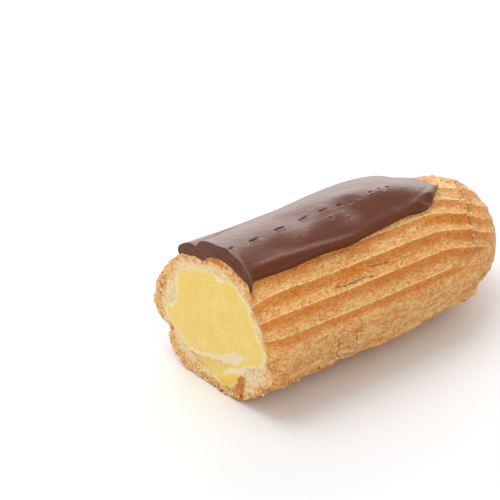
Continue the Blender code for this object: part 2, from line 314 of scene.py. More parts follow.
def mark(piece, name, values, tips=()):
    """Keep a value at every point of a piece, for its relief and its material."""
    filled = np.concatenate((np.ravel(values), tips)).astype(np.float32)
    attribute = piece.data.attributes.new(name, "FLOAT", "POINT")
    attribute.data.foreach_set("value", filled)


class Wire:
    """A value in a node tree that takes part in sums as a number does."""

    def __init__(self, tree, socket):
        self.tree = tree
        self.socket = socket

    def reckon(self, operation, *others):
        node = self.tree.nodes.new("ShaderNodeMath")
        node.operation = operation
        for slot, value in zip(node.inputs, (self,) + others):
            plug(self.tree, slot, value)
        return Wire(self.tree, node.outputs[0])

    def __add__(self, other):
        return self.reckon("ADD", other)

    def __sub__(self, other):
        return self.reckon("SUBTRACT", other)

    def __rsub__(self, other):
        return (self * -1.0) + other

    def __mul__(self, other):
        return self.reckon("MULTIPLY", other)

    def __pow__(self, other):
        return self.reckon("POWER", other)

    __radd__ = __add__
    __rmul__ = __mul__

    def ease(self, low, high):
        """Rise smoothly from 0 at low to 1 at high."""
        node = self.tree.nodes.new("ShaderNodeMapRange")
        node.interpolation_type = "SMOOTHSTEP"
        for slot, value in zip(node.inputs, (self, low, high)):
            plug(self.tree, slot, value)
        return Wire(self.tree, node.outputs[0])

    def bell(self, middle, spread):
        """1 at the middle and all but 0 two spreads away."""
        offset = (self - middle) * (1.0 / spread)
        return (offset * offset * -1.0).reckon("EXPONENT")


def plug(tree, socket, value):
    """Set a socket to a plain value or join a wire to it."""
    if isinstance(value, Wire):
        tree.links.new(value.socket, socket)
    else:
        socket.default_value = value


def lay(tree, kind, plugs=None, out=0, **settings):
    """Lay a node, set its options and its sockets, and return the wire from one of its outputs."""
    node = tree.nodes.new(kind)
    for key, value in settings.items():
        setattr(node, key, value)
    for key, value in (plugs or {}).items():
        plug(tree, node.inputs[key], value)
    return Wire(tree, node.outputs[out])


def grain(tree, place, size, seed, detail=2.0, roughness=0.5, stretch=None):
    """Noise from -1 to 1 with spots of about the given size, longer along X where stretched."""
    if stretch:
        place = lay(tree, "ShaderNodeVectorMath", {0: place, 1: (1.0 / stretch, 1.0, 1.0)}, operation="MULTIPLY")
    plugs = {"Vector": place, "W": seed, "Scale": 1.0 / size, "Detail": detail, "Roughness": roughness}
    return lay(tree, "ShaderNodeTexNoise", plugs, noise_dimensions="4D") * 2.0 - 1.0


def new_recipe(name, sizes):
    """An empty Geometry Nodes tree with a named input for each size."""
    tree = bpy.data.node_groups.new(name, "GeometryNodeTree")
    tree.interface.new_socket("Geometry", in_out="INPUT", socket_type="NodeSocketGeometry")
    for label, value in sizes.items():
        kind = "NodeSocketInt" if isinstance(value, int) else "NodeSocketFloat"
        socket = tree.interface.new_socket(label, in_out="INPUT", socket_type=kind)
        socket.default_value = value
    tree.interface.new_socket("Geometry", in_out="OUTPUT", socket_type="NodeSocketGeometry")
    entry = tree.nodes.new("NodeGroupInput")
    return tree, {socket.name: Wire(tree, socket) for socket in entry.outputs if socket.name}


def end_recipe(tree, geometry, material):
    """End a recipe as every piece's does: made real, with its finish on it."""
    geometry = lay(tree, "GeometryNodeRealizeInstances", {"Geometry": geometry})
    geometry = lay(tree, "GeometryNodeSetMaterial", {"Geometry": geometry, "Material": material})
    plug(tree, tree.nodes.new("NodeGroupOutput").inputs["Geometry"], geometry)


def carry_out(piece, tree, sizes):
    """Run a recipe on a piece with the given sizes and keep the result as a plain mesh."""
    modifier = piece.modifiers.new(tree.name, "NODES")
    modifier.node_group = tree
    for socket in tree.interface.items_tree:
        if socket.in_out == "INPUT" and socket.name in sizes:
            modifier[socket.identifier] = sizes[socket.name]
    depsgraph = bpy.context.evaluated_depsgraph_get()
    shaped = piece.evaluated_get(depsgraph)
    mesh = bpy.data.meshes.new_from_object(shaped, preserve_all_data_layers=True, depsgraph=depsgraph)
    piece.modifiers.clear()
    plain = piece.data
    piece.data = mesh
    bpy.data.meshes.remove(plain)
    mesh.name = piece.name
    mesh.shade_smooth()
    return piece


def attribute_wire(tree, name):
    """A value kept on the mesh, as a wire of a geometry tree."""
    return lay(tree, "GeometryNodeInputNamedAttribute", {"Name": name}, data_type="FLOAT")


def press_in(tree, geometry, depth):
    """Move the surface inwards along its normal by a depth."""
    normal = lay(tree, "GeometryNodeInputNormal")
    offset = lay(tree, "ShaderNodeVectorMath", {0: normal, "Scale": depth * -1.0}, operation="SCALE")
    return lay(tree, "GeometryNodeSetPosition", {"Geometry": geometry, "Offset": offset})


def new_finish(name):
    """A material with an empty Principled shader, its tree and its place wire."""
    material = bpy.data.materials.new(name)
    material.use_nodes = True
    tree = material.node_tree
    place = lay(tree, "ShaderNodeTexCoord", out="Object")
    return material, tree, tree.nodes["Principled BSDF"], place


def shade_wire(tree, name):
    """A value kept on the mesh, as a wire of a material."""
    return lay(tree, "ShaderNodeAttribute", out="Fac", attribute_name=name)


def blend(tree, share, first, second, mode="MIX"):
    """Mix two colours by a share."""
    node = tree.nodes.new("ShaderNodeMix")
    node.data_type = "RGBA"
    node.blend_type = mode
    for slot, value in ((0, share), (6, first), (7, second)):
        plug(tree, node.inputs[slot], value)
    return Wire(tree, node.outputs[2])


def clamped(wire):
    """A wire kept between 0 and 1."""
    return wire.reckon("MAXIMUM", 0.0).reckon("MINIMUM", 1.0)


def raise_bumps(tree, shader, height, distance):
    """Give a shader fine bumps of a height field."""
    normal = lay(tree, "ShaderNodeBump", {"Height": height, "Distance": distance, "Strength": 1.0}, out="Normal")
    plug(tree, shader.inputs["Normal"], normal)


def colour(red, green, blue):
    """A screen colour, given from 0 to 255, as the linear colour that nodes use."""
    linear = [((c / 255 + 0.055) / 1.055) ** 2.4 if c > 10 else c / 3294.6 for c in (red, green, blue)]
    return (*linear, 1.0)


# ---------------------------------------------------------------- choux pastry


def case_columns():
    """Turn of every column of the case at mid-length, its place among the flutes and its kind."""
    shares = np.array([0, 2, 5, 9, 14, 19, 25, 31, 37, 43, 49, 55, 61, 67, 73, 79, 85, 90, 95, 98]) / 100
    lanes = (np.arange(FAR_FLUTES + NEAR_FLUTES)[:, None] + shares).ravel()
    under = np.arange(UNDER_COLUMNS) / UNDER_COLUMNS
    return lanes, under


UNDER_COLUMNS = 180
BODY_ROWS = 122
CAP_ROWS = 62
RIM_ROWS = 24
HOLLOW_END = 70.0 * MM
HOLLOW_CAP = 24.0 * MM
WORN_EDGE = 0.4 * MM
ROUNDED_EDGE = 2.0 * MM


def case_turns(x):
    """Turns of all columns at each station, and the columns' flute places."""
    lanes, under = case_columns()
    drift = crest_drift(x)[:, None]
    base = FAR_LIMIT + FLUTE_PITCH * lanes[None]
    fluted = base + drift * ease(*DRIFT_FADE, base)
    first = NEAR_LIMIT + drift
    plain = first + (FAR_LIMIT + 360.0 - first) * under[None]
    turns = np.concatenate((fluted, plain), axis=1)
    places = np.concatenate((lanes, np.zeros(len(under))))
    return np.where(turns > 180.0, turns - 360.0, turns), np.broadcast_to(places, turns.shape)


def under_glaze(x, turn):
    """1 under the glaze and 0 beside it."""
    far, near = glaze_edges(x)
    covered = ease(far - BED_FADE, far + BED_FADE, turn) * (1.0 - ease(near - BED_FADE, near + BED_FADE, turn))
    return np.where(x >= GLAZE_END, 0.0, covered)


def flute_gain(x, turn):
    """Share of their full depth that the flutes have: less at the cut, low down and on the cap."""
    from_far = ease(FAR_LIMIT, FAR_LIMIT + FLUTE_FADE, turn)
    to_near = 1.0 - ease(NEAR_LIMIT - FLUTE_FADE, NEAR_LIMIT, turn)
    at_tip = ease(0.05, 0.5, closing(x, CASE_LENGTH, CAP_LENGTH))
    on_cap = 1.0 - 0.72 * ease(61.0 * MM, 70.0 * MM, x)
    by_cut = np.where(turn > 0.0, 0.55 + 0.45 * ease(0.0, 5.0 * MM, x), 0.12 + 0.6 * ease(0.0, 16.0 * MM, x))
    return from_far * to_near * at_tip * on_cap * by_cut * (1.0 - under_glaze(x, turn))


def wall_depth(turn):
    """Thickness of the case's wall at the cut, with the ripples of its inner edge."""
    place = np.stack((np.cos(np.radians(turn)), np.sin(np.radians(turn)), 0.0 * turn), -1) * 14.0 * MM
    ripple = 0.35 * lumps(place, 2.4 * MM, 71) + 0.2 * lumps(place, 0.9 * MM, 72)
    return (read_off(wrapped(WALLS), turn, 1.5) + ripple) * MM


def rounded(turn):
    """1 on the near side of the cut, whose outer edge is rounded and baked like the skin."""
    return ease(24.0, 38.0, turn) * (1.0 - ease(88.0, 100.0, turn))


def edge_round(x, turn):
    """How far the outer edge of the cut is rounded off."""
    return ROUNDED_EDGE * rounded(turn) * np.clip(1.0 - x / (4.5 * MM), 0.0, 1.0) ** 2


def case_dents(x, turn):
    """Depth of the broad dents of the case."""
    total = 0.0
    for middle, spread, depth, length in CASE_DENTS:
        total = total + depth * hump(middle, spread, turn) * (1.0 - ease(0.0, length, x))
    station, middle, spread, height = LIP
    rise = ease(station - 0.4, station + 0.3, x / MM) * (1.0 - ease(station + 0.3, station + 4.0, x / MM))
    return total - height * hump(middle, spread, turn) * rise


def bake_case():
    """The case as a thin-walled mesh: hollow, cut rim and fluted skin, before its relief."""
    cap_start = CASE_LENGTH - CAP_LENGTH
    body = np.linspace(0.0, cap_start, BODY_ROWS, endpoint=False)
    cap = cap_start + CAP_LENGTH * np.sin(0.5 * math.pi * np.arange(CAP_ROWS) / CAP_ROWS)
    out_x = np.concatenate((body, cap))[:, None]
    out_turn, out_lane = case_turns(out_x[:, 0])
    worn = WORN_EDGE * (1.0 - ease(0.0, 1.6 * MM, out_x)) * (1.0 - under_glaze(out_x, out_turn)) + edge_round(out_x, out_turn)
    along = np.stack(np.broadcast_arrays(out_x, out_turn * ARC, 0.0), -1)
    foot = hump(112.0, 12.0, out_turn) * (0.9 * MM * lumps(along, 4.5 * MM, 81) + 0.7 * MM * lumps(along, 1.6 * MM, 82))
    outer = envelope(out_x, out_turn, case_dents(out_x, out_turn) + worn + foot)

    wall = wall_depth(out_turn[0])
    in_cap = HOLLOW_END - HOLLOW_CAP
    in_x = np.concatenate((np.linspace(0.0, in_cap, 6), in_cap + HOLLOW_CAP * np.sin(0.5 * math.pi * np.arange(1, 6) / 6)))
    in_x = in_x[::-1, None]
    in_turn = np.broadcast_to(out_turn[0], (len(in_x), out_turn.shape[1]))
    inner = envelope(in_x, in_turn, wall, HOLLOW_END, HOLLOW_CAP)

    share = np.linspace(0.0, 1.0, RIM_ROWS + 2)[1:-1][:, None]
    rim = inner[-1] + (outer[0] - inner[-1]) * share[..., None]
    rim_turn = np.broadcast_to(out_turn[0], rim.shape[:2])
    grid = np.concatenate((inner, rim, outer))
    turn = np.concatenate((in_turn, rim_turn, out_turn))
    station = np.broadcast_to(grid[..., 0], turn.shape)

    inner_rows, rim_rows, outer_rows = len(inner), len(rim), len(outer)
    on_skin = np.zeros(turn.shape)
    on_skin[inner_rows + rim_rows:] = 1.0
    depth = np.zeros(turn.shape)
    depth[:inner_rows] = wall
    depth[inner_rows:inner_rows + rim_rows] = wall * (1.0 - share)
    on_rim = np.zeros(turn.shape)
    on_rim[inner_rows - 1:inner_rows + rim_rows] = 1.0
    lane = np.concatenate((np.zeros(in_turn.shape), np.broadcast_to(out_lane[0], rim_turn.shape), out_lane))
    gain = np.zeros(turn.shape)
    gain[inner_rows + rim_rows:] = flute_gain(out_x, out_turn)
    gain[inner_rows:inner_rows + rim_rows] = gain[inner_rows + rim_rows] * share
    fields = {"turn": turn, "station": station, "on_skin": on_skin, "on_rim": on_rim, "depth": depth, "lane": lane, "gain": gain}
    fields["skinned"] = on_rim * (1.0 - on_skin) * rounded(turn) * (1.0 - ease(2.4 * MM, 3.6 * MM, depth))
    return grid, fields


def crumb_share(grid, fields):
    """Where the cut shows pale crumb rather than baked brown crust."""
    crust = read_off(wrapped(CRUSTS), fields["turn"], 4.0) * MM
    wander = 0.8 * MM * lumps(grid, 2.2 * MM, 3) + 0.4 * MM * lumps(grid, 0.8 * MM, 4)
    return ease(-0.9 * MM, 0.9 * MM, fields["depth"] + wander - crust) * (1.0 - fields["on_skin"])


def crumbly_share(grid, fields):
    """Where loose crumbs cling: on the brown-crusted rim of the cut, behind the ring and along the base."""
    turn, skin_share = fields["turn"], fields["on_skin"]
    crust = read_off(wrapped(CRUSTS), turn, 4.0) * MM
    low = ease(100.0, 118.0, turn) + (1.0 - ease(-44.0, -34.0, turn))
    side = np.minimum(low, 1.0) * (1.0 - fields["skinned"])
    rim = (1.0 - ease(0.8, 1.5, fields["depth"] / crust)) * fields["on_rim"] * (1.0 - skin_share) * side
    edge = 0.9 * (1.0 - ease(0.3 * MM, 1.4 * MM, fields["station"])) * skin_share * np.minimum(low, 1.0)
    reach = fields["from_crack"]
    ring = 0.16 * ease(0.0, 0.6 * MM, reach) * (1.0 - ease(1.4 * MM, 2.6 * MM, reach)) * fields["crack_gain"]
    base = 0.12 * hump(111.0, 6.0, turn) * skin_share
    open_air = 1.0 - under_glaze(fields["station"], turn)
    return (rim + edge + (ring + base) * skin_share) * open_air


def rifts(fields):
    """Signed distance across the nearest torn crack, and how strongly it shows."""
    spot = np.stack((fields["station"], fields["turn"] * ARC), -1)
    across = np.full(spot.shape[:2], 9.0 * MM)
    gain = np.zeros(spot.shape[:2])
    closest = np.full(spot.shape[:2], np.inf)
    for run, strength in RIFTS:
        points = [np.array((x * MM, turn * ARC)) for x, turn in run]
        for start, end in zip(points, points[1:]):
            along = end - start
            length = np.linalg.norm(along)
            offset = spot - start
            share = offset @ along / length ** 2
            gap = np.linalg.norm(offset - np.clip(share, 0.0, 1.0)[..., None] * along, axis=-1)
            signed = (offset[..., 0] * along[1] - offset[..., 1] * along[0]) / length
            beyond = np.maximum(np.abs(share - 0.5) - 0.5, 0.0) * length
            nearer = gap < closest
            across = np.where(nearer, signed, across)
            gain = np.where(nearer, strength * (1.0 - ease(0.0, 0.7 * MM, beyond)), gain)
            closest = np.where(nearer, gap, closest)
    return np.clip(across, -9.0 * MM, 9.0 * MM), gain * fields["on_skin"]


def pored(fields):
    """Where the skin is full of small holes: in clusters, and faintly beside the glaze."""
    far, near = glaze_edges(fields["station"])
    turn, station = fields["turn"], fields["station"] / MM
    total = 0.25 * ease(near - 1.0, near + 1.0, turn) * (1.0 - ease(near + 5.0, near + 9.0, turn))
    for middle, place, length, spread in PORE_CLUSTERS:
        total = np.maximum(total, hump(middle, length, station) * hump(place, spread, turn))
    return total * fields["on_skin"]


def shaded_brown(fields):
    """Where the pastry is darker: beside the glaze, painted shade with some baked colour, and on the rim under the
    glaze at the cut, painted shade.
    """
    station, turn = fields["station"], fields["turn"]
    past = turn - glaze_edges(station)[1]
    beside = ease(-2.0, 0.0, past) * (1.0 - ease(1.5, 7.0, past)) * (1.0 - ease(30.0 * MM, 52.0 * MM, station))
    rim = (1.0 - ease(0.5 * MM, 2.2 * MM, fields["depth"])) * hump(-3.0, 30.0, turn) * fields["on_rim"]
    return beside * fields["on_skin"] + rim * (1.0 - fields["on_skin"])


TOASTED = ((-9.6, 7.2), (-10.7, 6.6), (-11.0, 5.0), (-10.5, 2.8), (-9.8, -0.6), (-7.4, -0.2), (-6.2, 1.8), (-7.6, 3.2), (-8.8, 4.8))


def flute_recipe(material):
    """Presses the flutes, the broken ring and the baked roughness into the plain case."""
    sizes = {
        "Depth At Cut": 0.6 * MM,
        "Depth At End": 1.0 * MM,
        "Full Depth From": 56.0 * MM,
        "Skew": 0.8,
        "Crest Softness": 0.7,
        "Crack Depth": 0.6 * MM,
        "Lip Height": 0.55 * MM,
        "Step": 0.8 * MM,
        "Rift Depth": 0.24 * MM,
        "Skin Roughness": 0.16 * MM,
        "Crumb Roughness": 0.3 * MM,
        "Seed": 7.0,
    }
    tree, given = new_recipe("piped_flutes", sizes)
    place = lay(tree, "GeometryNodeInputPosition")
    share = attribute_wire(tree, "lane").reckon("FRACT")
    deepening = attribute_wire(tree, "station").ease(0.0, given["Full Depth From"])
    depth = given["Depth At Cut"] + (given["Depth At End"] - given["Depth At Cut"]) * deepening
    softness = 1.0 + given["Crest Softness"] * (1.0 - attribute_wire(tree, "station").ease(0.0, 45.0 * MM))
    hollow = ((share ** given["Skew"]) * math.pi).reckon("SINE").reckon("MAXIMUM", 0.0) ** softness
    hollow = hollow.reckon("MAXIMUM", attribute_wire(tree, "fill"))
    relief = depth * hollow * attribute_wire(tree, "gain")

    skin_share = attribute_wire(tree, "on_skin")
    ring_share = attribute_wire(tree, "crack_gain") * skin_share
    reach = attribute_wire(tree, "from_crack") + grain(tree, place, 1.2 * MM, given["Seed"]) * (0.35 * MM)
    narrow = reach.bell(0.0, 0.45 * MM)
    lip = reach.bell(-0.9 * MM, 0.7 * MM)
    behind = reach.ease(-0.1 * MM, 0.4 * MM) * (1.0 - reach.ease(2.5 * MM, 9.0 * MM))
    crack = given["Crack Depth"] * narrow - given["Lip Height"] * lip + behind * given["Step"] * attribute_wire(tree, "ring_step")
    crumbled = behind * grain(tree, place, 1.1 * MM, given["Seed"] + 2.0, 2.0) * given["Step"] * 0.45
    relief = relief + (crack + crumbled) * ring_share
    relief = relief + attribute_wire(tree, "rift").bell(0.0, 0.5 * MM) * attribute_wire(tree, "rift_gain") * given["Rift Depth"]

    rough = grain(tree, place, 7.0 * MM, given["Seed"], 1.0) * 2.0
    rough = rough + grain(tree, place, 2.4 * MM, given["Seed"] + 3.0, 2.0, 0.5, 1.8)
    rough = rough + grain(tree, place, 1.0 * MM, given["Seed"] + 5.0, 1.0, 0.5, 1.5) * 0.6
    relief = relief + rough * given["Skin Roughness"] * skin_share

    torn = grain(tree, place, 2.2 * MM, given["Seed"] + 8.0, 2.0) + grain(tree, place, 0.8 * MM, given["Seed"] + 9.0, 1.0) * 0.7
    cells = lay(tree, "ShaderNodeTexVoronoi", {"Vector": place, "Scale": 1.0 / (2.1 * MM), "Randomness": 1.0})
    holes = (1.0 - cells.ease(0.12, 0.42)) * (0.35 + attribute_wire(tree, "crumbly"))
    relief = relief + (torn * given["Crumb Roughness"] * (0.35 + attribute_wire(tree, "crumbly")) + holes * 0.6 * MM) * attribute_wire(tree, "on_rim")
    ragged = grain(tree, place, 1.3 * MM, given["Seed"] + 12.0, 2.0, 0.6)
    ragged = ragged + grain(tree, place, 3.2 * MM, given["Seed"] + 15.0, 1.0) * 1.2
    relief = relief + ragged * 0.5 * MM * attribute_wire(tree, "crumbly").reckon("MINIMUM", 1.0)
    end_recipe(tree, press_in(tree, given["Geometry"], relief), material)
    return tree, sizes


def choux_finish(looks):
    """Baked choux, finely flecked and pored: pale on the open slopes, orange under the crests as painted shade with
    some baked colour, and a painted highlight along the crests.
    """
    material, tree, shader, place = new_finish("choux_pastry")
    share = shade_wire(tree, "lane").reckon("FRACT")
    gain = shade_wire(tree, "gain").ease(0.03, 0.45)
    cloud = grain(tree, place, 8.0 * MM, 1.0, 3.0)
    drift = grain(tree, place, 2.6 * MM, 6.0, 2.0, 0.5, 2.2)
    fleck = grain(tree, place, 1.0 * MM, 2.0, 2.0, 0.6, 2.4)
    speck = grain(tree, place, 0.45 * MM, 3.0, 1.0, 0.5, 1.6)
    streak = grain(tree, place, 1.1 * MM, 14.0, 2.0, 0.5, 6.0)
    crease = grain(tree, place, 0.6 * MM, 16.0, 2.0, 0.5, 0.45)
    low = shade_wire(tree, "turn").ease(70.0, 92.0)
    porous = shade_wire(tree, "porous")
    on_cap = shade_wire(tree, "station").ease(62.0 * MM, 70.0 * MM)
    # band: painted shade with some baked colour, orange just under each crest where the flute faces down, fading to
    # pale where it faces up.
    band = share.ease(0.0, 0.07) * (1.0 - (share + drift * 0.2 + cloud * 0.15).ease(0.25, 0.75))
    strength = (1.05 + cloud * 0.5) * (1.0 - porous * 0.8) * (1.0 - on_cap * 0.35)
    # shade: painted shade beside the glaze and on the rim under it, with some baked colour; it also darkens the rim
    # crust.
    shade = shade_wire(tree, "shaded_brown") * (0.7 + fleck + cloud)
    baked = band * gain * strength + shade + cloud * 0.4 + drift * 0.5 + fleck * 0.55 + speck * 0.3 + streak * low * 0.9 + 0.1
    tone = blend(tree, clamped(baked), tuple(looks.choux_pale), tuple(looks.choux_orange))

    jag = grain(tree, place, 1.3 * MM, 11.0, 3.0, 0.6)
    gate = (grain(tree, place, 1.2 * MM, 12.0, 2.0) + 0.1).ease(-0.15, 0.3)
    rift = shade_wire(tree, "rift") + jag * (0.6 * MM)
    rift_gain = shade_wire(tree, "rift_gain")
    torn = rift.bell(0.0, 0.17 * MM) * rift_gain * gate
    torn_lip = rift.bell(0.42 * MM, 0.26 * MM) * rift_gain
    ring_gain = shade_wire(tree, "crack_gain") * shade_wire(tree, "on_skin")
    reach = shade_wire(tree, "from_crack") + jag * (0.6 * MM)
    ring = reach.bell(0.1 * MM, 0.24 * MM) * ring_gain * gate.reckon("MAXIMUM", 0.35)
    ring_lip = reach.bell(-0.45 * MM, 0.32 * MM) * ring_gain
    behind = reach.ease(0.1 * MM, 0.5 * MM) * (1.0 - reach.ease(1.6 * MM, 3.2 * MM)) * ring_gain

    crest = (share + drift * 0.03).bell(0.97, 0.03) + (share + drift * 0.03).bell(-0.03, 0.03)
    pale = speck * 1.2 + fleck * 0.8 + drift * 0.5 - streak * low * 0.9
    # light: a painted highlight along the crests and on the ring crack's raised lip, with real pale flecks and pores.
    light = crest * gain * (0.9 + fleck * 0.5) + pale.ease(-0.25, 0.5) * 0.7 * (1.0 - band * gain * 0.75)
    light = light + porous * 0.55 + torn_lip * 0.6 + ring_lip * 1.3
    tone = blend(tree, clamped(light), tone, tuple(looks.choux_light))

    bent = lay(tree, "ShaderNodeVectorMath", {0: place, 1: jag * (0.35 * MM)}, operation="ADD")
    cells = lay(tree, "ShaderNodeTexVoronoi", {"Vector": bent, "Scale": 1.0 / (1.25 * MM), "Randomness": 1.0})
    pores = (1.0 - (cells + speck * 0.08).ease(0.1, 0.36)) * (porous + (drift + cloud).ease(0.2, 0.6) * 0.35)
    brown = (crease * low * 0.9 - pale).ease(0.05, 0.6) * 0.5
    brown = brown + shade * 0.35 + pores * 0.6 + torn * 0.65 + ring * 0.5 + behind * (fleck * 2.0 + 0.2).ease(0.0, 0.7) * 0.25
    height_up = lay(tree, "ShaderNodeSeparateXYZ", {0: place}, out=2)
    brown = brown + (1.0 - (height_up + jag * (0.8 * MM)).ease(0.1 * MM, 0.9 * MM)) * 0.55
    tone = blend(tree, clamped(brown), tone, tuple(looks.choux_brown))

    on_rim = shade_wire(tree, "on_rim") - (shade_wire(tree, "skinned") + drift * 0.3).ease(0.2, 0.9)
    on_rim = clamped(on_rim)
    mottle = shade * 0.8 + drift * 0.6 + fleck * 1.0 + speck * 0.5 + 0.5
    crust = blend(tree, mottle.ease(0.2, 1.3), tuple(looks.rim_crust), tuple(looks.choux_orange))
    tone = blend(tree, on_rim, tone, crust)
    soft = blend(tree, (speck * 0.9 + fleck * 1.1 + drift * 0.9 + 0.4).ease(0.0, 0.9), tuple(looks.crumb), tuple(looks.crumb_shade))
    tone = blend(tree, shade_wire(tree, "crumb"), tone, soft)
    wide = lay(tree, "ShaderNodeTexVoronoi", {"Vector": bent, "Scale": 1.0 / (1.9 * MM), "Randomness": 1.0})
    pits = (1.0 - (wide + speck * 0.1).ease(0.1, 0.34)) * on_rim * (0.25 + shade_wire(tree, "crumbly") * 0.75)
    toast = shade_wire(tree, "toasted") * (0.9 + fleck * 0.6)
    tone = blend(tree, clamped(pits * 0.45), tone, tuple(looks.choux_brown))
    tone = blend(tree, (shade_wire(tree, "web") + fleck * 0.3).ease(0.15, 0.9), tone, tuple(looks.membrane))
    tone = blend(tree, clamped(toast), tone, blend(tree, fleck.ease(-0.1, 0.6), tuple(looks.choux_orange), tuple(looks.choux_brown)))
    plug(tree, shader.inputs["Base Color"], tone)
    plug(tree, shader.inputs["Roughness"], 0.58 + speck * 0.08)
    shader.inputs["Specular IOR Level"].default_value = 0.35
    shader.inputs["Subsurface Weight"].default_value = 0.1
    shader.inputs["Subsurface Radius"].default_value = (1.0, 0.5, 0.2)
    shader.inputs["Subsurface Scale"].default_value = 1.0 * MM
    height = speck * 0.6 + fleck * 1.0 + drift * 0.5 + (streak + crease) * low * 0.6 - pores * 0.7 - pits * 0.9
    height = height + crest * gain * 0.15 - torn * 1.4 + torn_lip * 0.6 - ring * 1.0 + ring_lip * 0.9 + behind * fleck * 1.4
    raise_bumps(tree, shader, height, 0.5 * MM)
    return material


class EclairLooks(bpy.types.PropertyGroup):
    """Colours of the pastry, the custard and the chocolate."""

    choux_pale: bpy.props.FloatVectorProperty(name="Pale Choux", description="Baked skin on the open slopes", subtype="COLOR", size=4, default=colour(226, 163, 91))
    # Also the painted shade of the band under each crest.
    choux_orange: bpy.props.FloatVectorProperty(name="Orange Choux", description="Skin under the crests", subtype="COLOR", size=4, default=colour(214, 127, 38))
    choux_brown: bpy.props.FloatVectorProperty(name="Brown Choux", description="Darkest flecks of the skin", subtype="COLOR", size=4, default=colour(198, 106, 34))
    # Also the painted highlight along the crests and on the ring crack's lip.
    choux_light: bpy.props.FloatVectorProperty(name="Light Choux", description="Lightest flecks of the skin", subtype="COLOR", size=4, default=colour(246, 204, 138))
    crumb: bpy.props.FloatVectorProperty(name="Crumb", description="Moist crumb at the cut", subtype="COLOR", size=4, default=colour(252, 228, 182))
    crumb_shade: bpy.props.FloatVectorProperty(name="Crumb Shade", description="Deeper tone of the crumb", subtype="COLOR", size=4, default=colour(246, 204, 144))
    rim_crust: bpy.props.FloatVectorProperty(name="Rim Crust", description="Browned crumb round the cut", subtype="COLOR", size=4, default=colour(252, 208, 142))
    membrane: bpy.props.FloatVectorProperty(name="Membrane", description="Moist pastry across the custard", subtype="COLOR", size=4, default=colour(238, 217, 180))
    custard: bpy.props.FloatVectorProperty(name="Custard", description="Custard filling", subtype="COLOR", size=4, default=colour(238, 204, 104))
    custard_light: bpy.props.FloatVectorProperty(name="Pale Custard", description="Pale patches of the custard", subtype="COLOR", size=4, default=colour(243, 222, 160))
    custard_deep: bpy.props.FloatVectorProperty(name="Deep Custard", description="Yellow lump of custard low in the cut", subtype="COLOR", size=4, default=colour(234, 196, 88))
    chocolate: bpy.props.FloatVectorProperty(name="Chocolate", description="Set chocolate glaze", subtype="COLOR", size=4, default=colour(97, 47, 24))
    # Paler chocolate, for the painted highlight of the pitted places and for the broken cut face.
    chocolate_pale_and_highlight: bpy.props.FloatVectorProperty(name="Chocolate Pale And Highlight", description="Pitted and rubbed places of the glaze", subtype="COLOR", size=4, default=colour(146, 104, 88))


class EclairSizes(bpy.types.PropertyGroup):
    """Sizes of the eclair's dressing."""

    flute_at_cut: bpy.props.FloatProperty(name="Flute Depth At Cut", description="Depth of the flutes at the cut", subtype="DISTANCE", default=0.6 * MM)
    flute_at_end: bpy.props.FloatProperty(name="Flute Depth At End", description="Depth of the flutes at the round end", subtype="DISTANCE", default=1.0 * MM)
    crumb_size: bpy.props.FloatProperty(name="Crumb Size", description="Size of the largest crumbs", subtype="DISTANCE", default=0.85 * MM)
    custard_bulge: bpy.props.FloatProperty(name="Custard Bulge", description="How far the custard swells out of the cut", subtype="DISTANCE", default=0.35 * MM)


def keep_piece(piece):
    """Let a finished piece ride on the eclair's body."""
    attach(piece, BODY)


class ECLAIR_OT_bake_case(bpy.types.Operator):
    """Make the fluted choux case"""

    bl_idname = "eclair.bake_case"
    bl_label = "Bake Case"

    def execute(self, context):
        sizes = context.scene.eclair_sizes
        grid, fields = bake_case()
        piece = skin("pastry_crust", grid)
        jagged = 0.5 * MM * lumps(grid, 2.6 * MM, 11) + 0.3 * MM * lumps(grid, 1.0 * MM, 12)
        fields["from_crack"] = fields["station"] - read_off(wrapped(RING_CRACK), fields["turn"], 1.0) * MM - jagged
        fields["crack_gain"] = (1.0 - ease(100.0, 128.0, np.abs(fields["turn"])))
        fields["ring_step"] = read_off(RING_STEP, fields["turn"], 3.0)
        fields["crumb"] = crumb_share(grid, fields)
        fields["crumbly"] = crumbly_share(grid, fields)
        fields["rift"], fields["rift_gain"] = rifts(fields)
        fields["web"] = patch(grid[..., 1:], LONG_WEB, 0.4 * MM) * fields["on_rim"]
        fields["toasted"] = patch(grid[..., 1:], TOASTED, 0.8 * MM) * fields["on_rim"]
        fields["fill"] = 0.85 * hump(HIDDEN_CREST, 0.32, fields["lane"]) * (1.0 - ease(42.0 * MM, 53.0 * MM, fields["station"]))
        fields["porous"] = pored(fields)
        fields["shaded_brown"] = shaded_brown(fields)
        for name, values in fields.items():
            mark(piece, name, values, (values[0, 0], values[-1, 0]))
        close_skin(piece)
        tree, plain = flute_recipe(choux_finish(context.scene.eclair_looks))
        carry_out(piece, tree, {"Depth At Cut": sizes.flute_at_cut, "Depth At End": sizes.flute_at_end})
        keep_piece(piece)
        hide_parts("choux_shell")
        return {"FINISHED"}


# ---------------------------------------------------------------- custard


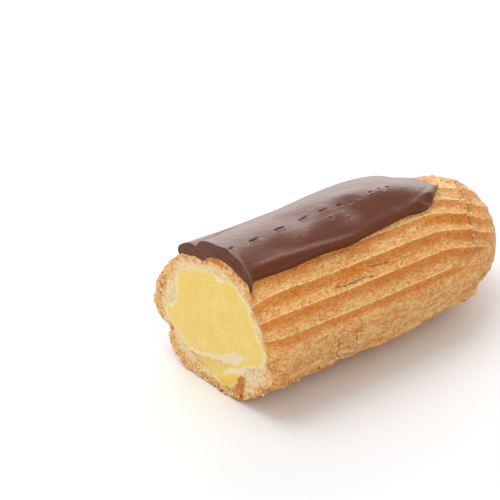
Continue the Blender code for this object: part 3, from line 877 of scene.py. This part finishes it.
def custard_finish(looks):
    """Set custard: dense, slightly translucent and softly mottled, with pale and yellow places."""
    material, tree, shader, place = new_finish("set_custard")
    cloud = grain(tree, place, 5.0 * MM, 1.0, 3.0)
    fleck = grain(tree, place, 0.8 * MM, 2.0, 3.0)
    speck = grain(tree, place, 0.4 * MM, 3.0, 1.0)
    pale = shade_wire(tree, "pale") + cloud * 0.5 + fleck * 0.8 + speck * 0.5 + 0.12
    tone = blend(tree, clamped(pale), tuple(looks.custard), tuple(looks.custard_light))
    tone = blend(tree, shade_wire(tree, "lump"), tone, tuple(looks.custard_deep))
    web = (shade_wire(tree, "web") + fleck * 0.3).ease(0.15, 0.9)
    tone = blend(tree, web, tone, tuple(looks.membrane))
    toast = (shade_wire(tree, "toasted") + fleck * 0.3).ease(0.3, 0.7)
    tone = blend(tree, toast, tone, blend(tree, fleck.ease(-0.1, 0.6), tuple(looks.choux_orange), tuple(looks.choux_brown)))
    plug(tree, shader.inputs["Base Color"], tone)
    plug(tree, shader.inputs["Roughness"], 0.5 + fleck * 0.08)
    shader.inputs["Specular IOR Level"].default_value = 0.3
    shader.inputs["Subsurface Weight"].default_value = 0.3
    shader.inputs["Subsurface Radius"].default_value = (1.0, 0.7, 0.25)
    shader.inputs["Subsurface Scale"].default_value = 1.6 * MM
    raise_bumps(tree, shader, cloud * 0.4 + fleck * (0.4 + web * 0.8 + toast * 2.0), 0.1 * MM)
    return material


FACE_ROWS = 100
FACE_COLUMNS = 380
FACE_MIDDLE = (-1.0 * MM, 15.5 * MM)
OVERLAP = 0.35 * MM
LONG_WEB = (
    (12.6, 4.6), (8.8, 5.7), (4.1, 6.6), (-1.0, 8.2), (-5.4, 10.3), (-7.6, 11.5), (-10.9, 12.2),
    (-10.8, 11.1), (-8.4, 8.6), (-5.5, 7.9), (-1.0, 6.8), (4.1, 5.5), (8.8, 4.6), (12.4, 3.6),
)
SHORT_WEB = (
    (-3.8, 5.7), (-8.2, 8.1), (-11.6, 9.9), (-16.0, 11.9), (-19.6, 13.2), (-19.2, 11.6), (-16.0, 9.9),
    (-11.6, 7.9), (-8.2, 6.7), (-4.0, 4.9),
)
POCKET = ((9.4, 5.4), (4.1, 5.9), (0.7, 7.0), (-2.7, 8.2), (-6.0, 8.4), (-3.5, 5.0), (-0.9, 3.0), (4.2, 2.6), (8.0, 3.2))
LUMP = ((-3.0, 4.2), (-8.8, 6.9), (-10.4, 6.3), (-8.3, 4.5), (-5.0, 2.3), (-2.5, 2.4))
PALE_PATCHES = (
    ((15.4, 19.5), (12.7, 18.6), (12.3, 16.8), (13.1, 14.3), (14.4, 13.0), (17.5, 13.6), (17.0, 17.0)),
    ((-0.5, 28.0), (-2.6, 29.0), (-5.0, 28.2), (-3.8, 26.6), (-1.7, 26.0)),
)


def custard_grid(bulge):
    """The custard: from the middle of its cut face outwards, then back along the hollow."""
    turns = np.linspace(-180.0, 180.0, FACE_COLUMNS, endpoint=False)
    wall = wall_depth(turns) - OVERLAP
    edge = envelope(np.zeros(1)[:, None], turns[None], wall)[0]
    middle = np.array((0.0, *FACE_MIDDLE))
    share = (np.arange(1, FACE_ROWS + 1) / FACE_ROWS)[:, None, None]
    face = middle + (edge - middle) * share
    share = share[..., 0]
    warp = np.stack([lumps(face, 1.5 * MM, seed) + 0.5 * lumps(face, 0.6 * MM, seed + 1) for seed in (25, 27)], -1)
    spot = face[..., 1:] + 0.3 * MM * warp
    web = np.maximum(patch(spot, LONG_WEB, 0.5 * MM), patch(spot, SHORT_WEB, 0.45 * MM))
    lump = patch(spot, LUMP, 0.7 * MM)
    pocket = patch(spot, POCKET, 0.8 * MM) * (1.0 - web)
    toasted = patch(spot, TOASTED, 0.7 * MM)
    pale = np.maximum(patch(spot, PALE_PATCHES[0], 0.4 * MM), patch(spot, PALE_PATCHES[1], 0.4 * MM))
    rim = ease(0.9, 0.99, share + 0.03 * warp[..., 0])
    smear = 0.16 * MM * lumps(face * (1, 0.6, 1.4), 4.0 * MM, 21) + 0.06 * MM * lumps(face, 1.3 * MM, 22)
    face[..., 0] += (smear - bulge) * (1.0 - share ** 4)
    face[..., 0] += 0.55 * MM * pocket - 0.55 * MM * lump - (0.14 + 0.1 * warp[..., 1]) * MM * web
    in_cap = HOLLOW_END - HOLLOW_CAP
    back_x = np.concatenate((np.linspace(1.0 * MM, in_cap, 6), in_cap + HOLLOW_CAP * np.sin(0.5 * math.pi * np.arange(1, 6) / 6)))
    back = envelope(back_x[:, None], turns[None], wall + 0.1 * MM, HOLLOW_END, HOLLOW_CAP)
    fields = {"web": web, "lump": lump, "toasted": toasted, "pale": np.maximum(pale, 0.75 * rim)}
    fields = {name: np.concatenate((values, np.zeros(back.shape[:2]))) for name, values in fields.items()}
    return np.concatenate((face, back)), fields


class ECLAIR_OT_fill_custard(bpy.types.Operator):
    """Make the custard filling"""

    bl_idname = "eclair.fill_custard"
    bl_label = "Fill Custard"

    def execute(self, context):
        grid, fields = custard_grid(context.scene.eclair_sizes.custard_bulge)
        piece = skin("custard", grid)
        for name, values in fields.items():
            mark(piece, name, values, (values[0].mean(), 0.0))
        close_skin(piece)
        piece.data.materials.append(custard_finish(context.scene.eclair_looks))
        keep_piece(piece)
        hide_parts("custard_filling")
        return {"FINISHED"}


# ---------------------------------------------------------------- crumbs


def crumb_recipe(material):
    """Scatters small crumbs where the pastry is crumbly and keeps the crumbs alone."""
    sizes = {
        "Crumbs Per Square Metre": 1.2e6,
        "Smallest": 0.28 * MM,
        "Largest": 0.85 * MM,
        "Roughness": 0.1 * MM,
        "Table": 0.0,
        "Seed": 5,
    }
    tree, given = new_recipe("loose_crumbs", sizes)
    density = attribute_wire(tree, "crumbly") * given["Crumbs Per Square Metre"]
    points = lay(tree, "GeometryNodeDistributePointsOnFaces", {"Mesh": given["Geometry"], "Density": density, "Seed": given["Seed"]})
    ball = lay(tree, "GeometryNodeMeshIcoSphere", {"Radius": 0.5, "Subdivisions": 2})
    spin = lay(tree, "FunctionNodeRandomValue", {0: (0.0, 0.0, 0.0), 1: (6.28, 6.28, 6.28), "Seed": given["Seed"]}, data_type="FLOAT_VECTOR")
    size = lay(tree, "FunctionNodeRandomValue", {2: given["Smallest"], 3: given["Largest"], "Seed": given["Seed"]}, out=1, data_type="FLOAT")
    shape = lay(tree, "FunctionNodeRandomValue", {0: (0.6, 0.6, 0.5), 1: (1.2, 1.2, 0.9), "Seed": given["Seed"]}, data_type="FLOAT_VECTOR")
    scale = lay(tree, "ShaderNodeVectorMath", {0: shape, "Scale": size}, operation="SCALE")
    crumbs = lay(tree, "GeometryNodeInstanceOnPoints", {"Points": points, "Instance": ball, "Rotation": spin, "Scale": scale})
    crumbs = lay(tree, "GeometryNodeRealizeInstances", {"Geometry": crumbs})
    place = lay(tree, "GeometryNodeInputPosition")
    crumbs = press_in(tree, crumbs, grain(tree, place, 0.3 * MM, 3.0, 2.0) * given["Roughness"])
    position = lay(tree, "GeometryNodeInputPosition")
    height = lay(tree, "ShaderNodeSeparateXYZ", {0: position}, out=2)
    lift = (given["Table"] - height).reckon("MAXIMUM", 0.0)
    offset = lay(tree, "ShaderNodeCombineXYZ", {"Z": lift})
    crumbs = lay(tree, "GeometryNodeSetPosition", {"Geometry": crumbs, "Offset": offset})
    end_recipe(tree, crumbs, material)
    return tree


def crumb_finish(looks):
    """Baked crumbs, from pale to orange brown."""
    material, tree, shader, place = new_finish("baked_crumbs")
    cloud = grain(tree, place, 1.6 * MM, 4.0, 2.0)
    fleck = grain(tree, place, 0.35 * MM, 2.0, 2.0)
    tone = blend(tree, (cloud * 1.4 + fleck * 0.5).ease(-0.3, 1.3), tuple(looks.rim_crust), tuple(looks.choux_orange))
    plug(tree, shader.inputs["Base Color"], tone)
    plug(tree, shader.inputs["Roughness"], 0.6 + fleck * 0.1)
    shader.inputs["Subsurface Weight"].default_value = 0.15
    shader.inputs["Subsurface Radius"].default_value = (1.0, 0.5, 0.2)
    shader.inputs["Subsurface Scale"].default_value = 0.8 * MM
    raise_bumps(tree, shader, fleck, 0.1 * MM)
    return material


class ECLAIR_OT_scatter_crumbs(bpy.types.Operator):
    """Scatter crumbs over the rim of the cut, the broken ring and the base edge"""

    bl_idname = "eclair.scatter_crumbs"
    bl_label = "Scatter Crumbs"

    def execute(self, context):
        bed = bpy.data.objects.get("pastry_crust")
        if bed is None:
            raise RuntimeError("Bake the case before its crumbs")
        piece = bpy.data.objects.new("cut_crumbs", bed.data.copy())
        context.scene.collection.objects.link(piece)
        carry_out(piece, crumb_recipe(crumb_finish(context.scene.eclair_looks)), {"Largest": context.scene.eclair_sizes.crumb_size})
        keep_piece(piece)
        return {"FINISHED"}


# ---------------------------------------------------------------- chocolate


GLAZE_ACROSS = 130
GLAZE_ROWS = 270
GLAZE_CUT_ROWS = 14
GLAZE_BED = 0.7 * MM
GLAZE_BEVEL = 0.8 * MM
GLAZE_ARC = math.radians(1.0) * 21.0 * MM

# Slits in the top of the glaze: station, turn, half length in millimetres, and rise in degrees a millimetre.
DASHES = (
    (1.5, 3.0, 1.0, -0.5), (8.1, 2.5, 1.3, -0.25), (15.4, 1.5, 1.3, -0.1), (22.3, 0.5, 1.2, -0.15),
    (27.4, 2.0, 1.0, 0.5), (31.6, 3.5, 0.7, 0.3), (34.6, 4.8, 0.3, 0.0), (37.2, 4.5, 0.3, 0.0),
    (40.8, 3.2, 0.45, 0.0), (43.5, 3.0, 0.35, 0.0), (46.2, 3.2, 0.5, 0.1),
)
# Burst bubbles: station, turn and size in millimetres.
BUBBLES = (
    (27.0, 10.2, 0.55), (27.0, 18.5, 0.3), (26.1, 19.0, 0.25), (31.0, 14.2, 0.5), (33.7, 16.0, 0.35),
    (31.4, 17.0, 0.3), (6.7, 6.5, 0.35),
)
# Broad hollows (positive) and swellings of the glaze: station, length, turn, spread and depth.
SWELLS = (
    (21.4, 4.0, -4.0, 7.0, 0.35), (33.5, 3.4, 9.0, 6.0, 0.5), (36.0, 4.0, -2.0, 5.0, -0.4),
    (18.6, 3.2, 10.5, 4.0, -0.3), (12.0, 5.0, 14.0, 4.0, 0.25), (45.0, 5.0, 8.0, 5.0, -0.25),
)


def glaze_lift(x, turn, far, near):
    """Height of the chocolate over the bare case."""
    station = x / MM
    from_near = (near - turn) * GLAZE_ARC
    from_far = (turn - far) * GLAZE_ARC
    depth = read_off(GLAZE_DEPTH, station, 1.5) * MM
    side = np.minimum(read_off(GLAZE_SIDE, station, 1.0) * MM, depth)
    wander = 0.3 * MM * lumps(np.stack(np.broadcast_arrays(x, 0.0, 0.0), -1), 3.2 * MM, 57)
    step = read_off(GLAZE_STEP, station, 1.0) * MM + wander * ease(12.0 * MM, 18.0 * MM, x)
    crisp = ease(10.0 * MM, 18.0 * MM, x)
    power = 2.0 + 0.8 * crisp
    short = 1.0 - np.clip(from_near / step, 0.0, 1.0)
    lift = side * (1.0 - short ** power) ** (1.0 / power)
    beyond = from_near - step
    lift = lift + (depth - side) * ease(-0.5 * MM, 6.0 * MM, beyond)
    lift = lift - crisp * 0.1 * MM * hump(1.1 * MM, 0.8 * MM, beyond)
    far_roll = np.sqrt(1.0 - (1.0 - np.clip(from_far / (2.0 * MM), 0.0, 1.0)) ** 2)
    lift = lift * far_roll * (1.0 - 0.32 * (1.0 - ease(0.0, 10.0 * MM, from_far)))
    lift = lift * (1.0 - 0.35 * ease(51.0 * MM, 57.0 * MM, x) * (1.0 - ease(-20.0, 0.0, turn)))
    seam = (turn - read_off(GLAZE_SEAM, station, 1.0)) * GLAZE_ARC
    lift = lift - 0.28 * MM * hump(0.0, 0.5 * MM, seam) * (1.0 - ease(18.0 * MM, 32.0 * MM, x))
    lift = lift - 1.1 * MM * hump(-22.0, 4.6, turn) * (1.0 - ease(0.5 * MM, 9.0 * MM, x))
    return lift + 0.1 * MM * hump(23.0, 6.0, turn) * (1.0 - ease(0.0, 1.4 * MM, x))


def glaze_grid():
    """The chocolate slab: its cut face, then rings of bed and top along the case."""
    bend = np.linspace(0.0, 1.0, GLAZE_ROWS)
    x = GLAZE_END * (1.0 - (1.0 - bend) ** 1.25)
    x[-1] = GLAZE_END - 0.02 * MM
    far, near = glaze_edges(x)
    p = -np.cos(math.pi * np.linspace(0.0, 1.0, GLAZE_ACROSS))
    p = 0.5 * (p + np.linspace(-1.0, 1.0, GLAZE_ACROSS))
    turn = 0.5 * (near + far)[:, None] + 0.5 * (near - far)[:, None] * p
    xs = x[:, None]
    lift = glaze_lift(xs, turn, far[:, None], near[:, None])
    lift = lift + dents(xs, turn) * ease(0.0, 0.8 * MM, lift)
    sunk = edge_round(xs, turn)
    under = envelope(xs, turn, GLAZE_BED * ease(-1.0 * MM, 2.0 * MM, xs) + case_dents(xs, turn) + sunk)
    over = envelope(xs, turn, sunk - np.maximum(lift, 0.0))
    wave = 0.16 * MM * lumps(over, 9.0 * MM, 51) + 0.07 * MM * lumps(over, 3.5 * MM, 52)
    over[..., 2] += wave * ease(0.3 * MM, 1.8 * MM, lift)
    bevel = GLAZE_BEVEL * ease(-4.0, 5.0, turn) * (1.0 - ease(14.0, 24.0, turn)) * np.clip(1.0 - xs / (2.5 * MM), 0.0, 1.0)
    over[..., 0] += bevel * (1.0 + 0.5 * lumps(over, 1.8 * MM, 58))
    ring = np.concatenate((under, over[:, ::-1]), axis=1)
    fold = np.concatenate((over, under[:, ::-1]), axis=1)[0]
    share = (np.arange(GLAZE_CUT_ROWS) / GLAZE_CUT_ROWS)[:, None, None]
    middle = 0.5 * (ring[0] + fold)
    cut = middle + (ring[0] - middle) * share
    broken = 0.14 * MM * lumps(cut, 1.6 * MM, 55) + 0.1 * MM * lumps(cut, 0.6 * MM, 56)
    ridge = 0.3 * MM * hump(0.25, 0.2, share[..., 0]) * ease(-2.0, 8.0, np.concatenate((turn[0], turn[0, ::-1])))
    cut[..., 0] += broken * (1.0 - 0.6 * share[..., 0] ** 3) - ridge
    # Painted highlight on the pitted places of the top, along the step and at the broken edge of the cut.
    pitting_and_highlight = pitted_and_highlit(xs, turn, near[:, None])
    pitting_and_highlight = np.concatenate((0.0 * pitting_and_highlight, pitting_and_highlight[:, ::-1]), axis=1)
    face = np.concatenate((np.ones(cut.shape[:2]), np.zeros(ring.shape[:2])))
    steep = 1.0 - ease(-0.4 * MM, 0.8 * MM, (near[:, None] - turn) * GLAZE_ARC - read_off(GLAZE_STEP, xs / MM, 1.0) * MM)
    steep = np.maximum(steep, hump(53.5, 4.0, xs / MM) * ease(13.0, 17.0, turn))
    steep = np.concatenate((np.ones(cut.shape[:2]), np.concatenate((steep, steep[:, ::-1]), axis=1)))
    pitting_and_highlight = np.concatenate((np.zeros(cut.shape[:2]), pitting_and_highlight))
    return np.concatenate((cut, ring)), {"pitting_and_highlight": pitting_and_highlight, "broken": face, "steep": steep}


def pitted_and_highlit(x, turn, near):
    """Where the top of the glaze is pitted and painted paler as a painted highlight: two patches, along the step and at
    the broken edge of the cut.
    """
    station = x / MM
    total = hump(18.6, 3.0, station) * hump(10.5, 3.6, turn)
    total = np.maximum(total, 0.8 * hump(31.5, 2.6, station) * hump(15.5, 3.0, turn))
    from_step = (near - turn) * GLAZE_ARC - read_off(GLAZE_STEP, station, 1.0) * MM
    along = hump(0.3 * MM, 0.5 * MM, from_step) * ease(2.0, 6.0, station) * (1.0 - ease(24.0, 34.0, station))
    cut = 0.5 * hump(0.0, 0.6, station) * ease(-8.0, 4.0, turn)
    return np.maximum(np.maximum(total, 0.7 * along), cut)


def dents(x, turn):
    """Small marks in the top of the glaze: slits, burst bubbles, hollows and the end's crater."""
    station = x / MM
    total = 0.0
    for middle, place, half, rise in DASHES:
        slant = turn - place - (station - middle) * rise
        length = ease(-half - 0.3, -half + 0.3, station - middle) * (1.0 - ease(half - 0.3, half + 0.3, station - middle))
        total = total - length * MM * (0.18 + 0.24 * half) * hump(0.0, 0.6, slant) + 0.1 * MM * length * hump(1.4, 0.7, slant)
    for middle, place, size in BUBBLES:
        gap = np.hypot(station - middle, (turn - place) * GLAZE_ARC / MM) / size
        total = total - 0.3 * MM * size * hump(0.0, 0.8, gap) + 0.25 * MM * size * hump(1.2, 0.5, gap)
    for middle, length, place, spread, depth in SWELLS:
        total = total - depth * MM * hump(middle, length, station) * hump(place, spread, turn)
    run = (station - 54.6) + (turn - 18.0) * 0.25
    total = total - 1.1 * MM * hump(0.0, 2.0, run) * hump(17.6, 3.0, turn)
    total = total - 0.6 * MM * hump(50.6, 1.0, station) * hump(20.6, 1.6, turn)
    return total


def chocolate_finish(looks):
    """Set chocolate glaze with a satin shine, duller where it is broken, and pale where it is pitted as a painted
    highlight.
    """
    material, tree, shader, place = new_finish("set_chocolate")
    cloud = grain(tree, place, 8.0 * MM, 1.0, 3.0)
    fleck = grain(tree, place, 0.5 * MM, 2.0, 3.0)
    pits = grain(tree, place, 0.45 * MM, 5.0, 2.0)
    broken = shade_wire(tree, "broken")
    pitting_and_highlight = clamped(shade_wire(tree, "pitting_and_highlight") * (0.75 + pits * 0.9))
    # worn: the painted highlight of the pitted places, with random pale pits and the paler broken cut face.
    worn = clamped(pitting_and_highlight * 0.75 + (pits + cloud * 0.3).ease(0.35, 0.9) * 0.12 + broken * (pits.ease(0.0, 0.7) * 0.4 + 0.15))
    tone = blend(tree, worn, tuple(looks.chocolate), tuple(looks.chocolate_pale_and_highlight))
    plug(tree, shader.inputs["Base Color"], tone)
    plug(tree, shader.inputs["Roughness"], 0.37 + fleck * 0.06 + cloud * 0.05 + pitting_and_highlight * 0.1 + broken * 0.12)
    plug(tree, shader.inputs["Specular IOR Level"], 0.5 - shade_wire(tree, "steep") * 0.26)
    height = fleck * 0.5 + grain(tree, place, 1.6 * MM, 4.0, 2.0) + pits * (0.15 + pitting_and_highlight * 3.0 + broken * 5.0)
    raise_bumps(tree, shader, height, 0.055 * MM)
    return material


class ECLAIR_OT_pour_chocolate(bpy.types.Operator):
    """Make the chocolate glaze"""

    bl_idname = "eclair.pour_chocolate"
    bl_label = "Pour Chocolate"

    def execute(self, context):
        grid, fields = glaze_grid()
        piece = skin("chocolate", grid, folded_start=True)
        for name, values in fields.items():
            mark(piece, name, values, (0.0,))
        close_skin(piece, grid.shape[1])
        piece.data.materials.append(chocolate_finish(context.scene.eclair_looks))
        keep_piece(piece)
        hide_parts("chocolate_glaze")
        return {"FINISHED"}


# ---------------------------------------------------------------- stage


class EclairStage(bpy.types.PropertyGroup):
    """Camera and studio light."""

    azimuth: bpy.props.FloatProperty(name="Azimuth", description="Turn of the camera round the eclair", subtype="ANGLE", default=math.radians(-38.34))
    elevation: bpy.props.FloatProperty(name="Elevation", description="Height of the camera over the table", subtype="ANGLE", default=math.radians(27.5))
    distance: bpy.props.FloatProperty(name="Distance", description="Distance of the camera", subtype="DISTANCE", default=0.56)
    lens: bpy.props.FloatProperty(name="Lens", description="Focal length in millimetres", default=183.69)
    daylight: bpy.props.FloatProperty(name="Room Light", description="Strength of the light from the pale room", default=0.6)


class ECLAIR_OT_set_stage(bpy.types.Operator):
    """Make the table, the studio light and the camera"""

    bl_idname = "eclair.set_stage"
    bl_label = "Set Stage"

    def execute(self, context):
        stage = context.scene.eclair_stage
        mesh = bpy.data.meshes.new("table")
        half = 3.0
        corners = [(-half, -half, 0.0), (half, -half, 0.0), (half, half, 0.0), (-half, half, 0.0)]
        mesh.from_pydata(corners, [], [(0, 1, 2, 3)])
        table = bpy.data.objects.new("table", mesh)
        table.location.z = -0.0002
        context.scene.collection.objects.link(table)
        material, tree, shader, place = new_finish("pale_table")
        cloud = grain(tree, place, 0.4, 1.0, 1.0)
        plug(tree, shader.inputs["Base Color"], blend(tree, cloud.ease(-1.0, 1.0), (0.86, 0.86, 0.86, 1.0), (0.88, 0.88, 0.88, 1.0)))
        shader.inputs["Roughness"].default_value = 0.9
        mesh.materials.append(material)

        world = bpy.data.worlds.new("pale_room")
        world.use_nodes = True
        room = world.node_tree.nodes["Background"]
        room.inputs["Color"].default_value = (1.0, 1.0, 1.0, 1.0)
        room.inputs["Strength"].default_value = stage.daylight
        context.scene.world = world

        self.hang_softbox("overhead_softbox", (-0.15, 0.25, 0.9), 0.7, 4.2)
        self.hang_softbox("front_softbox", (-0.6, -0.95, 0.75), 1.1, 4.6)
        self.hang_softbox("back_softbox", (0.78, 0.97, 0.37), 1.2, 10.8)
        self.set_camera(context, stage)
        return {"FINISHED"}

    def hang_softbox(self, name, place, size, power):
        light = bpy.data.lights.new(name, "AREA")
        light.size = size
        light.energy = power
        lamp = bpy.data.objects.new(name, light)
        lamp.location = place
        lamp.rotation_euler = Vector(place).to_track_quat("Z", "Y").to_euler()
        bpy.context.scene.collection.objects.link(lamp)

    def set_camera(self, context, stage):
        """Look at the eclair from the near left, with it low and to the right in the view."""
        a, e = stage.azimuth, stage.elevation
        back = Vector((math.sin(a) * math.cos(e), -math.cos(a) * math.cos(e), math.sin(e)))
        right = Vector((math.cos(a), math.sin(a), 0.0))
        up = back.cross(right)
        middle = Vector((-7.0 * MM, -0.3 * MM, 15.0 * MM))
        aim = middle - right * 17.95 * MM + up * 6.28 * MM
        view = bpy.data.cameras.new("camera")
        view.lens = stage.lens
        camera = bpy.data.objects.new("camera", view)
        camera.location = aim + back * stage.distance
        camera.rotation_euler = back.to_track_quat("Z", "Y").to_euler()
        context.scene.collection.objects.link(camera)
        context.scene.camera = camera


STEPS = (
    ECLAIR_OT_bake_case,
    ECLAIR_OT_fill_custard,
    ECLAIR_OT_scatter_crumbs,
    ECLAIR_OT_pour_chocolate,
    ECLAIR_OT_set_stage,
)


class ECLAIR_PT_maker(bpy.types.Panel):
    """The eclair's sizes, colours and steps"""

    bl_idname = "ECLAIR_PT_maker"
    bl_label = "Chocolate Eclair"
    bl_space_type = "VIEW_3D"
    bl_region_type = "UI"
    bl_category = "Eclair"

    def draw(self, context):
        for group in (context.scene.eclair_sizes, context.scene.eclair_looks, context.scene.eclair_stage):
            for name in group.bl_rna.properties.keys():
                if name not in ("rna_type", "name"):
                    self.layout.prop(group, name)
        for step in STEPS:
            self.layout.operator(step.bl_idname)


GROUPS = (("eclair_sizes", EclairSizes), ("eclair_looks", EclairLooks), ("eclair_stage", EclairStage))


def register():
    """Make the groups, the operators and the panel known."""
    for name, group in GROUPS:
        bpy.utils.register_class(group)
        setattr(bpy.types.Scene, name, bpy.props.PointerProperty(type=group))
    for item in STEPS + (ECLAIR_PT_maker,):
        bpy.utils.register_class(item)


def unregister():
    """Take them out again."""
    for item in reversed(STEPS + (ECLAIR_PT_maker,)):
        bpy.utils.unregister_class(item)
    for name, group in reversed(GROUPS):
        delattr(bpy.types.Scene, name)
        bpy.utils.unregister_class(group)


def main():
    """Make the whole eclair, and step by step."""

    register()
    bpy.ops.eclair.bake_case()
    bpy.ops.eclair.fill_custard()
    bpy.ops.eclair.scatter_crumbs()
    bpy.ops.eclair.pour_chocolate()
    bpy.ops.eclair.set_stage()
    bpy.context.scene.view_settings.view_transform = "Standard"


if __name__ == "__main__":
    main()
